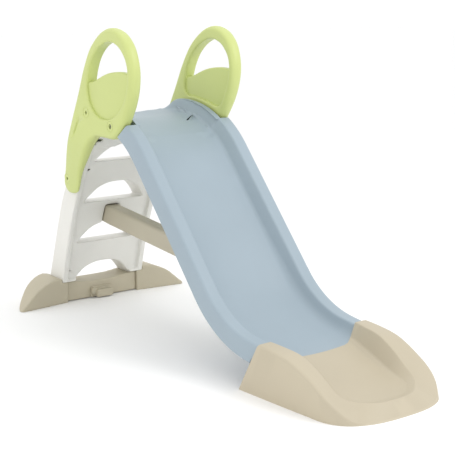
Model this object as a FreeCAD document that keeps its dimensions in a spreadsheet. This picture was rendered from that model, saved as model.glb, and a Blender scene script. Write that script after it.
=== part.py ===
"""Toddler slide: a moulded chute on a ladder that folds in under it.

+X is the way a child slides, +Z is up, and the object is symmetric about y = 0.
Lengths along X are laid out from the foot line, the slide-side face of the ladder's base,
and every sub-part's Placement then moves them so that x = 0 is the middle of the whole length.
A side view is drawn on the XZ plane, and a point of it is (x, z).
"""
import FreeCAD, Part
import math
import os

VEC = FreeCAD.Vector
RIGHT, LEFT = -1, 1

doc = FreeCAD.newDocument("toddler_slide")
sheet = doc.addObject("Spreadsheet::Sheet", "sizes")
subparts = []

SIZES = (
    # the whole object
    ("middle", 734.0),
    ("wall", 4.0),
    # the line that the chute's rim follows, in side view
    ("chute_start", 168.0),
    ("bend_start", 320.0),
    ("platform_rim", 768.0),
    ("bend_radius", 400.0),
    ("slope_angle", 48.6),
    ("slope_length", 498.0),
    ("run_out_radius", 330.0),
    ("run_out_angle", 7.0),
    ("run_out_length", 56.0),
    # the chute's section
    ("rim_half", 208.0),
    ("rim_width", 45.0),
    ("skirt_flare", 4.0),
    ("skirt_depth", 62.0),
    ("floor_half", 144.0),
    ("wall_foot", 44.0),
    ("floor_depth", 55.0),
    ("platform_half", 163.0),
    # the landing
    ("landing_half", 228.0),
    ("landing_front", 1592.0),
    ("landing_back", 1142.0),
    ("landing_draft", 2.0),
    ("landing_corner", 150.0),
    ("trough_front", 1548.0),
    # the ladder
    ("ladder_half", 175.0),
    ("flange_inner", 152.0),
    ("front_recess", 15.0),
    ("opening_half", 127.0),
    ("first_tread", 228.0),
    ("tread_pitch", 160.0),
    ("step_height", 85.0),
    ("seat_height", 703.0),
    ("ladder_base", 14.0),
    ("plug_height", 78.0),
    ("plug_front", -24.0),
    ("plug_back", -106.0),
    ("ear_thickness", 10.0),
    ("upper_screw_x", 283.0),
    ("upper_screw_z", 737.0),
    ("leg_screw_x", 91.0),
    ("leg_screw_z", 486.0),
    # the handles
    ("handle_thickness", 43.5),
    ("disc_recess", 11.0),
    # the base
    ("base_half", 355.0),
    ("foot_inner", 151.0),
    ("foot_front", 18.0),
    ("foot_back", -124.0),
    ("foot_crest", 96.0),
    ("crossbar_height", 72.0),
    # the brace, its hinge in the middle step and the catch pin under the chute
    ("brace_width", 56.0),
    ("brace_height", 70.0),
    ("hinge_x", 30.0),
    ("hinge_z", 338.0),
    ("catch_x", 812.0),
    ("catch_z", 262.0),
    ("notch_gap", 3.0),
    ("notch_top", 371.0),
    ("notch_reach", 34.0),
    ("slot_gap", 1.5),
    ("hinge_pin", 8.0),
    ("catch_pin", 12.0),
    # the fold pivot
    ("pivot_x", 437.0),
    ("pivot_z", 703.0),
    ("pivot_pin", 8.0),
    ("insert_outer", 14.0),
    ("boss_outer", 34.0),
    ("running_gap", 0.05),
    # screws
    ("screw_shank", 5.0),
    ("screw_head", 12.0),
    ("landing_screw_x", 1192.0),
    ("landing_screw_y", 186.0),
    # the clip on the crossbar
    ("crossbar_front", -14.0),
)


def fill_sheet():
    """Write the driving sizes into the spreadsheet, one alias to a row."""
    for row, (name, value) in enumerate(SIZES, start=1):
        sheet.set(f"A{row}", name)
        sheet.set(f"B{row}", str(value))
        sheet.setAlias(f"B{row}", name)
    doc.recompute()


def size(name):
    """A driving size, read back from the spreadsheet."""
    return float(sheet.get(name))


def bind(thing, **links):
    """Bind properties of an object to spreadsheet formulas, with __ for a dot in the name."""
    for prop, formula in links.items():
        thing.setExpression(prop.replace("__", "."), formula)


def keep(thing, label):
    """Name a finished sub-part and place it in the object's own frame."""
    thing.Label = label
    bind(thing, Placement__Base__x="-sizes.middle")
    subparts.append(thing)
    return thing


# ---------------------------------------------------------------- outlines


def corner_arc(before, corner, after, radius):
    """Start, middle and end of the arc that rounds a corner of an outline."""
    back = (before - corner).normalize()
    ahead = (after - corner).normalize()
    half_turn = back.getAngle(ahead) / 2
    reach = radius / math.tan(half_turn)
    bisector = (back + ahead).normalize()
    centre = corner + bisector * (radius / math.sin(half_turn))
    return corner + back * reach, centre - bisector * radius, corner + ahead * reach


def rounded(corners):
    """Edges of a closed outline from (u, v) or (u, v, radius) corners."""
    points = [VEC(c[0], c[1], 0) for c in corners]
    count = len(points)
    stops = []
    for i, corner in enumerate(corners):
        radius = corner[2] if len(corner) > 2 else 0
        if radius:
            stops.append(corner_arc(points[i - 1], points[i], points[(i + 1) % count], radius))
        else:
            stops.append((points[i], None, points[i]))
    edges = []
    for i, (start, middle, end) in enumerate(stops):
        if middle is not None:
            edges.append(Part.Arc(start, middle, end))
        following = stops[(i + 1) % count][0]
        if (following - end).Length > 1e-6:
            edges.append(Part.LineSegment(end, following))
    return edges


def inset(corners, distance):
    """The same outline moved to its right by a distance, with its arcs kept concentric."""
    count = len(corners)
    points = [VEC(c[0], c[1], 0) for c in corners]
    moved = []
    for i, corner in enumerate(corners):
        into = (points[i] - points[i - 1]).normalize()
        out = (points[(i + 1) % count] - points[i]).normalize()
        side = VEC(into.y, -into.x, 0) + VEC(out.y, -out.x, 0)
        shift = side * (distance / (1 + into.dot(out)))
        radius = corner[2] if len(corner) > 2 else 0
        turns_right = into.cross(out).z < 0
        grown = radius - distance if turns_right else radius + distance
        moved.append((points[i].x + shift.x, points[i].y + shift.y, max(grown, 0) if radius else 0))
    return moved


def chain(*pieces):
    """Edges of a closed outline: a tuple is a point joined by lines, a list is a smooth curve."""
    edges = []
    ends = [[VEC(*p, 0) for p in piece] if isinstance(piece, list) else [VEC(*piece, 0)]
            for piece in pieces]
    for i, points in enumerate(ends):
        if len(points) > 1:
            curve = Part.BSplineCurve()
            curve.interpolate(points)
            edges.append(curve)
        following = ends[(i + 1) % len(ends)][0]
        if (following - points[-1]).Length > 1e-6:
            edges.append(Part.LineSegment(points[-1], following))
    return edges


BASE_SCREW_X = (-90, -45)
BASE_SCREW_Y = 163

SIDE_VIEW = FreeCAD.Rotation(VEC(1, 0, 0), 90)
FRONT_VIEW = FreeCAD.Rotation(FreeCAD.Matrix(0, 0, 1, 0, 1, 0, 0, 0, 0, 1, 0, 0, 0, 0, 0, 1))
PLAN_VIEW = FreeCAD.Rotation()


def outline(name, edges, rotation=SIDE_VIEW, at=VEC(0, 0, 0)):
    """A free sketch of the given edges, in the side view unless it is told otherwise."""
    sketch = doc.addObject("Sketcher::SketchObject", name)
    sketch.addGeometry(edges, False)
    sketch.Placement = FreeCAD.Placement(at, rotation)
    return sketch


def slab(name, edges, inner, outer):
    """Extrude a side-view outline across, from y = inner to y = outer."""
    body = doc.addObject("Part::Extrusion", name)
    body.Base = outline(name + "_outline", edges, SIDE_VIEW, VEC(0, inner, 0))
    body.DirMode = "Custom"
    body.Dir = VEC(0, 1, 0)
    body.LengthFwd = outer - inner
    body.Solid = True
    return body


def column(name, edges, low, high, draft=0.0):
    """Extrude a plan outline upwards, its sides leaning in by the draft angle."""
    body = doc.addObject("Part::Extrusion", name)
    body.Base = outline(name + "_outline", edges, PLAN_VIEW, VEC(0, 0, low))
    body.DirMode = "Custom"
    body.Dir = VEC(0, 0, 1)
    body.LengthFwd = high - low
    body.TaperAngle = draft
    body.Solid = True
    return body


def bar(name, edges, back, front):
    """Extrude a front-view outline, drawn in (y, z), from x = back to x = front."""
    body = doc.addObject("Part::Extrusion", name)
    body.Base = outline(name + "_outline", edges, FRONT_VIEW, VEC(back, 0, 0))
    body.DirMode = "Custom"
    body.Dir = VEC(1, 0, 0)
    body.LengthFwd = front - back
    body.Solid = True
    return body


def pin(name, x, z, diameter, inner, outer):
    """A cylinder along Y between two values of y."""
    rod = doc.addObject("Part::Cylinder", name)
    bind(rod, Radius=f"({diameter}) / 2")
    rod.Height = abs(outer - inner)
    rod.Placement = FreeCAD.Placement(VEC(x, max(inner, outer), z), SIDE_VIEW)
    return rod


def post(name, x, y, diameter, low, high):
    """An upright cylinder."""
    rod = doc.addObject("Part::Cylinder", name)
    bind(rod, Radius=f"({diameter}) / 2")
    rod.Height = high - low
    rod.Placement.Base = VEC(x, y, low)
    return rod


def fuse(name, *things):
    """Join solids into one."""
    joined = doc.addObject("Part::MultiFuse", name)
    joined.Shapes = list(things)
    joined.Refine = True
    return joined


def cut(name, base, *tools):
    """Take one or more solids out of a base."""
    result = doc.addObject("Part::Cut", name)
    result.Base = base
    result.Tool = tools[0] if len(tools) == 1 else fuse(name + "_tools", *tools)
    return result


def overlap(name, first, second):
    """What two solids share."""
    shared = doc.addObject("Part::MultiCommon", name)
    shared.Shapes = [first, second]
    return shared


def group(name, things):
    """Separate solids that make one node, such as a set of screws."""
    gathered = doc.addObject("Part::Compound", name)
    gathered.Links = list(things)
    return gathered


# ---------------------------------------------------------------- the rim line


def slope_vector():
    """Unit vector down the straight of the chute, in side view."""
    angle = math.radians(size("slope_angle"))
    return VEC(math.cos(angle), -math.sin(angle), 0)


def rim_points():
    """Ends and mid-arc points of the rim line, in side view."""
    slope = math.radians(size("slope_angle"))
    flat = math.radians(size("run_out_angle"))
    bend = size("bend_radius")
    sweep = size("run_out_radius")

    def on_bend(angle):
        return top + VEC(bend * math.sin(angle), -bend * (1 - math.cos(angle)), 0)

    def on_sweep(angle):
        across = math.sin(slope) - math.sin(angle)
        down = math.cos(angle) - math.cos(slope)
        return low + VEC(sweep * across, -sweep * down, 0)

    start = VEC(size("chute_start"), size("platform_rim"), 0)
    top = VEC(size("bend_start"), size("platform_rim"), 0)
    high = on_bend(slope)
    low = high + slope_vector() * size("slope_length")
    level = on_sweep(flat)
    end = level + VEC(math.cos(flat), -math.sin(flat), 0) * size("run_out_length")
    return start, top, on_bend(slope / 2), high, low, on_sweep((slope + flat) / 2), level, end


def rim_edges():
    """The rim line as straight runs and tangent arcs."""
    start, top, mid_bend, high, low, mid_sweep, level, end = rim_points()
    return [
        Part.LineSegment(start, top),
        Part.Arc(top, mid_bend, high),
        Part.LineSegment(high, low),
        Part.Arc(low, mid_sweep, level),
        Part.LineSegment(level, end),
    ]


def on_slope(along, depth):
    """A side-view point on the straight: along it from its top, and depth below the rim line."""
    down = slope_vector()
    inward = VEC(down.y, -down.x, 0)
    high = rim_points()[3]
    place = high + down * along + inward * depth
    return place.x, place.y


def swept(name, edges, runs):
    """Sweep a section, drawn in (y, distance above the rim), along runs of the rim line."""
    start = rim_points()[0]
    body = doc.addObject("Part::Sweep", name)
    section = outline(name + "_section", edges, FRONT_VIEW, VEC(start.x, 0, start.y))
    path = outline(name + "_path", rim_edges()[:runs])
    body.Sections = [section]
    body.Spine = (path, [f"Edge{i + 1}" for i in range(runs)])
    body.Solid = True
    body.Frenet = False
    return body


def section_corners():
    """Top outline of the chute's section, from the right skirt to the left one."""
    rim = size("rim_half")
    skirt = rim + size("skirt_flare")
    right = [
        (-skirt, -size("skirt_depth"), 0),
        (-rim, 0, 10),
        (-rim + size("rim_width"), 0, 9),
        (-size("floor_half"), -size("wall_foot"), 20),
    ]
    left = [(-y, v, radius) for y, v, radius in reversed(right)]
    return right + [(0, -size("floor_depth"), 700)] + left


# ---------------------------------------------------------------- the slide


def hump_edge():
    """Rear end of the platform's side walls, which rises from the rear edge to the rim line."""
    rim = size("platform_rim")
    back = size("chute_start")
    return [(back - 10, rim - 48), (back + 15, rim - 39), (back + 82, rim - 10), (back + 130, rim)]


def chute():
    """One thin moulding: platform, slope and run-out, with its rims and skirts."""
    corners = section_corners()
    under = inset(corners, size("wall"))
    below = -size("skirt_depth") - 20
    under[0] = (under[0][0], below, 0)
    under[-1] = (under[-1][0], below, 0)
    block = swept("chute_block", rounded(corners), 5)
    hollow = swept("chute_hollow", rounded(under), 5)
    shell = cut("chute_shell", block, hollow)

    half = size("platform_half")
    wide = size("rim_half") + 30
    edge = [(440, 560), (452, 632), (478, 668), (518, 692), (566, 722), (590, 810)]
    trims = []
    for side in (RIGHT, LEFT):
        low, high = sorted((side * half, side * wide))
        away = chain(edge, (590, 900), (100, 900), (100, 560))
        trims.append(slab("handle_clearance", away, low, high))
    ends = slab("wall_end", chain(hump_edge(), (298, 820), (140, 820), (140, 720)), -wide, wide)
    trimmed = cut("chute_trimmed", shell, *trims, ends)

    pieces = [trimmed]
    depth = size("skirt_depth")
    lip = size("wall")
    for side in (RIGHT, LEFT):
        outer, inner = side * half, side * (half - lip)
        strip = [(inner, -depth), (outer, -depth), (outer, -1), (inner, -1)]
        wall = swept("platform_wall", rounded(strip), 2)
        past = slab("past_clearance", chain(edge, (800, 810), (800, 560)), -wide, wide)
        pieces.append(cut("platform_wall_cut", wall, ends, past))
        boss = pin("pivot_boss", size("pivot_x"), size("pivot_z"), "sizes.boss_outer",
                   side * (half - 17), outer)
        pieces.append(overlap("boss_in_block", boss, block))
        stud = post("landing_boss", size("landing_screw_x"), side * size("landing_screw_y"),
                    "sizes.screw_shank + 9", 60, 144)
        pieces.append(overlap("landing_boss_in_block", stud, block))
        pieces.append(catch_cheek(side))
    whole = fuse("chute_whole", *pieces)

    holes = [pin("catch_hole", size("catch_x"), size("catch_z"), "sizes.catch_pin", -60, 60)]
    for side in (RIGHT, LEFT):
        holes.append(pin("insert_hole", size("pivot_x"), size("pivot_z"), "sizes.insert_outer",
                         side * (half - 13), side * (half + 5)))
        holes.append(post("landing_screw_hole", size("landing_screw_x"), side * size("landing_screw_y"),
                          "sizes.screw_shank", 70, 106))
    return keep(cut("chute", whole, *holes), "chute")


def catch_cheek(side):
    """One of two ribs under the chute that hold the catch pin."""
    inner = side * (size("brace_width") / 2 + 4)
    low, high = sorted((inner, inner + side * 6))
    top = size("floor_depth") - 1
    x, z = size("catch_x"), size("catch_z")
    reach = size("catch_pin") + 4
    start, end = on_slope(200, top), on_slope(370, top)
    return slab("catch_cheek", rounded([start, end, (x + reach, z - reach, 12),
                                        (x - reach, z - reach, 12)]), low, high)


def landing_outline(grow):
    """Plan outline of the landing, with large front corners, grown outwards by a distance."""
    half = size("landing_half") + grow
    front = size("landing_front") + grow
    back = size("landing_back") - grow
    corner = size("landing_corner")
    side_end = front - 0.62 * corner
    nose = [(side_end, -half), (front - 0.17 * corner, -half + 0.3 * corner), (front - 2, -half * 0.4),
            (front, 0), (front - 2, half * 0.4), (front - 0.17 * corner, half - 0.3 * corner),
            (side_end, half)]
    return chain((back, -half), nose, (back, half))


def landing_side(drop):
    """Side outline under the landing's top, lowered by a distance."""
    end = rim_points()[-1]
    base = -drop * 5
    top = [(end.x, end.y + 8), (1290, 148), (1373, 124), (1444, 100), (1514, 70), (1560, 46), (1605, 20)]
    top = [(x - drop / 4, z - drop) for x, z in top]
    back = [(size("landing_back") - drop, base), (1148, 34), (1162, 66), (1181, 92)]
    back = [(x + drop, z) for x, z in back]
    return chain(back, top, (1620, base))


def trough_plan(grow):
    """Plan outline of the landing's trough, with a round front end."""
    front = size("trough_front") + grow
    half = size("floor_half") + 6 + grow
    radius = 118 + grow
    return rounded([(1100, -half), (front, -half, radius), (front, half, radius), (1100, half)])


def trough_side(drop):
    """Side outline of what is above the trough's floor, lowered by a distance."""
    floor = [(1190, 105 - drop), (1290, 82 - drop), (1400, 52 - drop), (1500, 34 - drop), (1580, 30 - drop)]
    return chain(floor, (1580, 300), (1190, 300))


def landing():
    """The foot of the slide: a hollow moulding that carries the chute's end and stands on the floor."""
    def block(grow):
        plan = column("landing_plan", landing_outline(grow), grow * 5, 200, -size("landing_draft"))
        side = slab("landing_profile", landing_side(-grow), -260, 260)
        return overlap("landing_block", plan, side)

    def trough(grow):
        plan = column("trough_column", trough_plan(grow), 10, 220, 6)
        side = slab("trough_profile", trough_side(grow), -200, 200)
        return overlap("trough_space", plan, side)

    wall = size("wall")
    hollow = cut("landing_hollow", block(-wall), trough(wall), chute_seat(wall))
    tools = [trough(0), hollow, chute_seat(0.4)]
    for side in (RIGHT, LEFT):
        tools.append(post("landing_shank_space", size("landing_screw_x"), side * size("landing_screw_y"),
                          "sizes.screw_shank + 0.4", 70, 90))
    return keep(cut("landing", block(0), *tools), "landing")


def chute_seat(grow):
    """The space that the chute's end fills where it sits in the landing, grown by a distance."""
    grown = inset(section_corners(), -grow)
    below = -size("skirt_depth") - grow
    grown[0] = (grown[0][0], below, 0)
    grown[-1] = (grown[-1][0], below, 0)
    whole = swept("chute_seat", rounded(grown), 5)
    end = rim_points()[-1].x + grow
    near = slab("seat_reach", rounded([(1120, 0), (end, 0), (end, 260), (1120, 260)]), -260, 260)
    return overlap("seat_end", whole, near)


# ---------------------------------------------------------------- the ladder


def ladder_front(z):
    """x of the ladder's slide-side face at a height, below the handles."""
    rise = z - 105
    return 5 + 0.26 * rise + 0.000307 * rise * rise


def ladder_back(z):
    """x of the ladder's climbing-side face at a height, below the handles."""
    return -107 + 0.36 * (z - 79)


def ladder_side(inward, low, high):
    """Side outline of the ladder between two heights, moved inwards by a distance."""
    front = [(ladder_front(z) - inward, z) for z in (low, 105, 215, 325, 428)]
    front += [(150 - inward, 486), (186 - inward, 548), (226 - inward, 604), (282 - inward, high)]
    back = [(196 + inward, high), (138 + inward, 612), (73 + inward, 500), (28 + inward, 430)]
    back += [(ladder_back(z) + inward, z) for z in (330, 215, 105, low)]
    return chain(front, back)


def tread_height(step):
    """Height of the flat top of a step, counted from 0."""
    return size("first_tread") + step * size("tread_pitch")


def opening(step):
    """A gap to see and step through: flat along its tread, arched under the panel above."""
    half = size("opening_half")
    floor = size("plug_height") - 10 if step < 0 else tread_height(step)
    crown = tread_height(step + 1) - size("step_height")
    if step == 2:
        crown = size("seat_height") - size("step_height")
    rise = crown - floor
    spring = [(half, floor + 2), (half - 16, floor + 0.3 * rise), (half * 0.6, floor + 0.75 * rise),
              (0, crown)]
    arch = spring + [(-y, z) for y, z in reversed(spring[:-1])]
    return bar("opening", chain((-half, floor), (half, floor), arch), -200, 400)


def step_hollow(step):
    """The sealed space inside a step's panel, split where the brace's notch is."""
    top = tread_height(step) - 4 if step < 3 else size("seat_height") - 5
    low = top - size("step_height") + 9
    recess = size("front_recess") + size("wall")
    inner = size("brace_width") / 2 + size("notch_gap") + 6 if step == 1 else 0
    wall = size("wall")
    if step < 2:
        front = [ladder_front(low) - recess, ladder_front(top) - recess]
        back = [ladder_back(low) + wall, ladder_back(top) + wall]
    else:
        front, back = {2: ([115, 160], [60, 100]), 3: ([216, 232], [150, 196])}[step]
    edges = rounded([(back[0], low), (front[0], low), (front[1], top), (back[1], top)])
    if inner:
        return [slab("step_hollow", edges, *sorted((side * inner, side * 118))) for side in (RIGHT, LEFT)]
    return [slab("step_hollow", edges, -118, 118)]


def plugs(name):
    """The stiles' square lower ends, as the sockets of the base take them."""
    low, high = size("ladder_base"), size("plug_height")
    back, front = size("plug_back"), size("plug_front")
    corners = [(back, low), (front, low), (front, high), (back, high)]
    made = []
    for side in (RIGHT, LEFT):
        reach = sorted((side * size("opening_half"), side * size("ladder_half")))
        made.append(slab(name, rounded(corners), *reach))
    return made


def stile_spaces(side):
    """The sealed spaces inside one stile: its bead at the front and the stile behind the recess."""
    wall = size("wall")
    flange = size("flange_inner")
    low, high = 90, 640
    bead = sorted((side * (flange + wall), side * (size("ladder_half") - wall)))
    stile = sorted((side * (size("opening_half") + wall), side * (flange + wall + 1)))
    return [slab("bead_hollow", ladder_side(wall + 2, low, high), *bead),
            slab("stile_hollow", ladder_side(size("front_recess") + wall, low, high), *stile)]


def front_recess():
    """The space in front of the panels, between the two beads."""
    recess = size("front_recess")
    flange = size("flange_inner")
    panel = [(ladder_front(z) - recess, z) for z in (88, 105, 215, 325, 428)]
    panel += [(150 - recess, 486), (186 - recess, 548), (226 - recess, 604)]
    return slab("front_recess_space", chain(panel, (460, 604), (460, 88)), -flange, flange)


def notch_half():
    """Half the width of the notch that the brace swings in."""
    return size("brace_width") / 2 + size("notch_gap")


def brace_notch():
    """The notch's space, open below and in front, faceted at the back round the brace's end."""
    gap = notch_half()
    top = size("notch_top")
    mouth = tread_height(0) + 30
    x, z, reach = size("hinge_x"), size("hinge_z"), size("notch_reach")
    back, front = x - reach, 200
    facet = 30
    corner = reach / math.cos(math.radians(facet / 2))
    turns = [math.radians(90 + facet * (i + 0.5)) for i in range(3)]
    behind = [(x + corner * math.cos(turn), z + corner * math.sin(turn)) for turn in turns]
    face = bar("notch_face", rounded([(-gap, mouth), (gap, mouth), (gap, top, 8), (-gap, top, 8)]),
               back - 1, front)
    low, high = mouth - 1, top + 1
    side = slab("notch_side", rounded([(back, low), (front, low), (front, high), *behind]), -gap - 1, gap + 1)
    return overlap("brace_notch", face, side)


def ladder_additions(side):
    """The ear that a handle turns on and the bosses round a leg screw and the hinge pin."""
    half = size("ladder_half")
    ear = chain([(200, 690), (236, 742), (283, 762), (318, 742), (330, 706)], (278, 690))
    reach = sorted((side * (half - size("ear_thickness")), side * half))
    return [slab("handle_ear", ear, *reach),
            pin("leg_screw_boss", size("leg_screw_x"), size("leg_screw_z"), "sizes.screw_head + 4",
                side * 145, side * half),
            pin("hinge_boss", size("hinge_x"), size("hinge_z"), "sizes.hinge_pin + 12",
                side * notch_half(), side * 50)]


def ladder_holes(side):
    """The holes for the handle's screws and the base's screws on one side."""
    holes = [pin("screw_hole", x, z, "sizes.screw_shank", side * 150, side * (size("ladder_half") + 5))
             for x, z in screw_places()]
    return holes + [post("base_screw_hole", x, side * BASE_SCREW_Y, "sizes.screw_shank", 10, 36)
                    for x in BASE_SCREW_X]


def ladder():
    """One hollow moulding: two stiles, three steps, the seat that the platform rests on, two ears."""
    half = size("ladder_half")
    seat = size("seat_height")
    upper = slab("ladder_upper", ladder_side(0, size("plug_height"), seat), -half, half)
    block = fuse("ladder_block", upper, *plugs("stile_plug"))
    tools = [opening(step) for step in (-1, 0, 1, 2)]
    for step in range(4):
        tools += step_hollow(step)
    tools += stile_spaces(RIGHT) + stile_spaces(LEFT) + [front_recess(), brace_notch()]
    carved = cut("ladder_carved", block, *tools)
    whole = fuse("ladder_whole", carved, *ladder_additions(RIGHT), *ladder_additions(LEFT))
    hinge_hole = pin("hinge_pin_hole", size("hinge_x"), size("hinge_z"), "sizes.hinge_pin", -44, 44)
    return keep(cut("ladder", whole, hinge_hole, *ladder_holes(RIGHT), *ladder_holes(LEFT)), "ladder")


# ---------------------------------------------------------------- the handles


def handle_front():
    """The long edge of a handle's side outline, from its leg's front foot round to the back foot."""
    return [(158, 462), (183, 515), (235, 578), (285, 632), (321, 657), (384, 660), (438, 655),
            (490, 690), (520, 730), (550, 775), (572, 830), (578, 890), (565, 945), (540, 985),
            (500, 1012), (440, 1022), (386, 1005), (321, 956), (273, 894), (228, 802), (180, 716),
            (133, 619), (72, 503), (60, 466)]


def handle_outline():
    """Side outline of a handle: a tall loop above, a body over the pivot, a leg down the stile."""
    return chain(handle_front(), [(60, 466), (76, 444), (110, 436), (145, 443), (158, 462)])


def grip_hole():
    """Side outline of the hole that a hand goes through."""
    return chain([(330, 846), (331, 868), (345, 915), (388, 960), (449, 980), (504, 964), (540, 930),
                  (553, 897), (551, 870)], [(551, 870), (520, 879), (471, 880), (394, 862), (330, 846)])


def disc_edge():
    """Side outline of the sunk disc below the hand hole."""
    return chain([(549, 868), (535, 814), (473, 743), (407, 721), (345, 732), (298, 775), (287, 822),
                  (300, 880), (420, 905), (549, 890)])


def screw_places():
    """Side-view places of a handle's upper screw and its leg screw."""
    return ((size("upper_screw_x"), size("upper_screw_z")), (size("leg_screw_x"), size("leg_screw_z")))


def head_seats():
    """How far from the middle plane the heads of those two screws sit."""
    inner = size("ladder_half") + 0.5
    return inner + size("handle_thickness") - 8, inner + 9


def handle_hollow(side, inner, outer):
    """The sealed space inside a handle: its loop and shoulder, clear of its hole, disc and bolts."""
    wall = size("wall")
    ends = sorted((side * (inner + wall), side * (outer - wall)))
    across = sorted((side * (inner - 5), side * (outer + 5)))
    inside = slab("handle_inside", rounded(inset(handle_front(), -wall)), *ends)
    middle = slab("handle_middle", rounded([(280, 695), (420, 695), (485, 728), (556, 790), (570, 868),
                                            (562, 915), (545, 945), (504, 975), (449, 993), (385, 975),
                                            (312, 928), (282, 880), (266, 830), (270, 770)]), *across)
    leg = slab("handle_leg", rounded([(0, 400), (420, 400), (420, 670), (0, 670)]), *across)
    bosses = [pin("boss_margin", size(place + "_x"), size(place + "_z"), "26", *across)
              for place in ("pivot", "upper_screw")]
    return cut("handle_hollow", inside, middle, leg, *bosses)


def handle(side, name):
    """One handle, from its inner face against the ladder to its outer face."""
    inner = size("ladder_half") + 0.5
    outer = inner + size("handle_thickness")
    body = slab("handle_block", handle_outline(), *sorted((side * inner, side * outer)))
    tools = [slab("grip_hole", grip_hole(), *sorted((side * (inner - 30), side * (outer + 30))))]
    tools.append(handle_hollow(side, inner, outer))
    deep = size("disc_recess")
    for low, high in ((inner - 5, inner + deep), (outer - deep, outer + 5)):
        tools.append(slab("disc_space", disc_edge(), *sorted((side * low, side * high))))
    wedge = [(side * (inner + 14), 420), (side * (inner + 14), 470), (side * outer, 640),
             (side * (outer + 30), 640), (side * (outer + 30), 420)]
    tools.append(bar("leg_thinning", rounded(wedge), 0, 330))
    for (x, z), seat in zip(screw_places(), head_seats()):
        tools.append(pin("head_space", x, z, "sizes.screw_head + 1", side * seat, side * (outer + 5)))
        tools.append(pin("shank_space", x, z, "sizes.screw_shank + 0.4", side * (inner - 5), side * outer))
    x, z = size("pivot_x"), size("pivot_z")
    tools.append(pin("bolt_head_space", x, z, "sizes.pivot_pin * 2 + 1", side * (outer - 9),
                     side * (outer + 5)))
    tools.append(pin("bolt_space", x, z, "sizes.pivot_pin + sizes.running_gap * 2", side * (inner - 5),
                     side * outer))
    return keep(cut(name, body, *tools), name)


# ---------------------------------------------------------------- the base


def ladder_room():
    """The space that the ladder takes above its plugs, which the base is cut back from."""
    wide = size("ladder_half") + 0.4
    return slab("ladder_room", ladder_side(-0.4, size("plug_height"), 160), -wide, wide)


def foot(side, name):
    """A fin that spreads the ladder's stance, with a socket for the stile's end."""
    inner, tip = size("foot_inner"), size("base_half")
    crest, front, back = size("foot_crest"), size("foot_front"), size("foot_back")
    rise = [(200, crest), (240, crest - 10), (285, crest - 32), (325, crest - 66), (tip - 3, 8)]
    edges = chain((side * inner, 0), (side * inner, crest - 16), [(side * y, z) for y, z in
                  [(inner, crest - 16), (178, crest - 2)] + rise], (side * tip, 0))
    upright = bar("foot_rise", edges, back, front)
    rear = [(back, 200), (back + 18, 250), (back + 62, 310), (front - 22, tip - 2), (front - 8, tip),
            (front, tip - 8)]
    plan = column("foot_plan", chain((-4, side * inner), (back, side * inner),
                                     [(x, side * y) for x, y in rear]), -1, 130)
    block = overlap("foot_block", upright, plan)
    tools = plugs("foot_socket")
    tools.append(ladder_room())
    tools.append(slab("foot_hollow", rounded([(-95, 6), (-12, 6), (-12, 66), (-95, 66)]),
                      *sorted((side * 180, side * 262))))
    for x in BASE_SCREW_X:
        tools.append(post("base_shank_space", x, side * BASE_SCREW_Y, "sizes.screw_shank + 0.4", -5, 20))
        tools.append(post("base_head_space", x, side * BASE_SCREW_Y, "sizes.screw_head + 1", -5, 6))
    return keep(cut(name, block, *tools), name)


def crossbar():
    """The bar between the feet, along the floor under the lowest step."""
    half = size("foot_inner")
    top = size("crossbar_height")
    edges = chain((-half, 3), (-half, top + 8), [(-half, top + 8), (-100, top - 1), (0, top - 6),
                  (100, top - 1), (half, top + 8)], (half, 3))
    block = bar("crossbar_block", edges, size("foot_back") + 12, size("crossbar_front"))
    hollow = slab("crossbar_hollow", rounded([(-107, 8), (-19, 8), (-19, 60), (-107, 60)]), -119, 119)
    return keep(cut("foot_crossbar", block, hollow, ladder_room(), *plugs("bar_socket")), "foot_crossbar")


def clip():
    """The small snap clip on the slide-side face of the crossbar."""
    face = size("crossbar_front")
    plate = bar("clip_plate", rounded([(-50, 4, 6), (44, 4, 6), (44, 44, 10), (-50, 44, 10)]), face, face + 5)
    block = bar("clip_block", rounded([(-34, 5, 4), (34, 5, 4), (34, 33, 6), (-34, 33, 6)]),
                face + 5, face + 25)
    gap = bar("clip_gap", rounded([(-10, 12), (40, 12), (40, 40), (-10, 40)]), face + 10, face + 19)
    knob = bar("clip_knob", rounded([(-52, 16, 11), (-30, 16, 11), (-30, 42, 11), (-52, 42, 11)]),
               face + 5, face + 15)
    return keep(cut("hose_clip", fuse("clip_whole", plate, block, knob), gap), "hose_clip")


# ---------------------------------------------------------------- the brace and its pins


def catch_slot():
    """The space of the brace's slot, open upwards along the way that the catch pin leaves it."""
    catch = VEC(size("catch_x"), size("catch_z"), 0)
    lift = VEC(-0.487, 0.873, 0)
    across = VEC(lift.y, -lift.x, 0)
    half = size("catch_pin") / 2 + size("slot_gap")
    low, high = catch - lift * half, catch + lift * 60
    corners = [low - across * half, low + across * half, high + across * half, high - across * half]
    radii = (half - 0.01, half - 0.01, 0, 0)
    return slab("catch_slot", rounded([(c.x, c.y, r) for c, r in zip(corners, radii)]), -60, 60)


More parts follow.
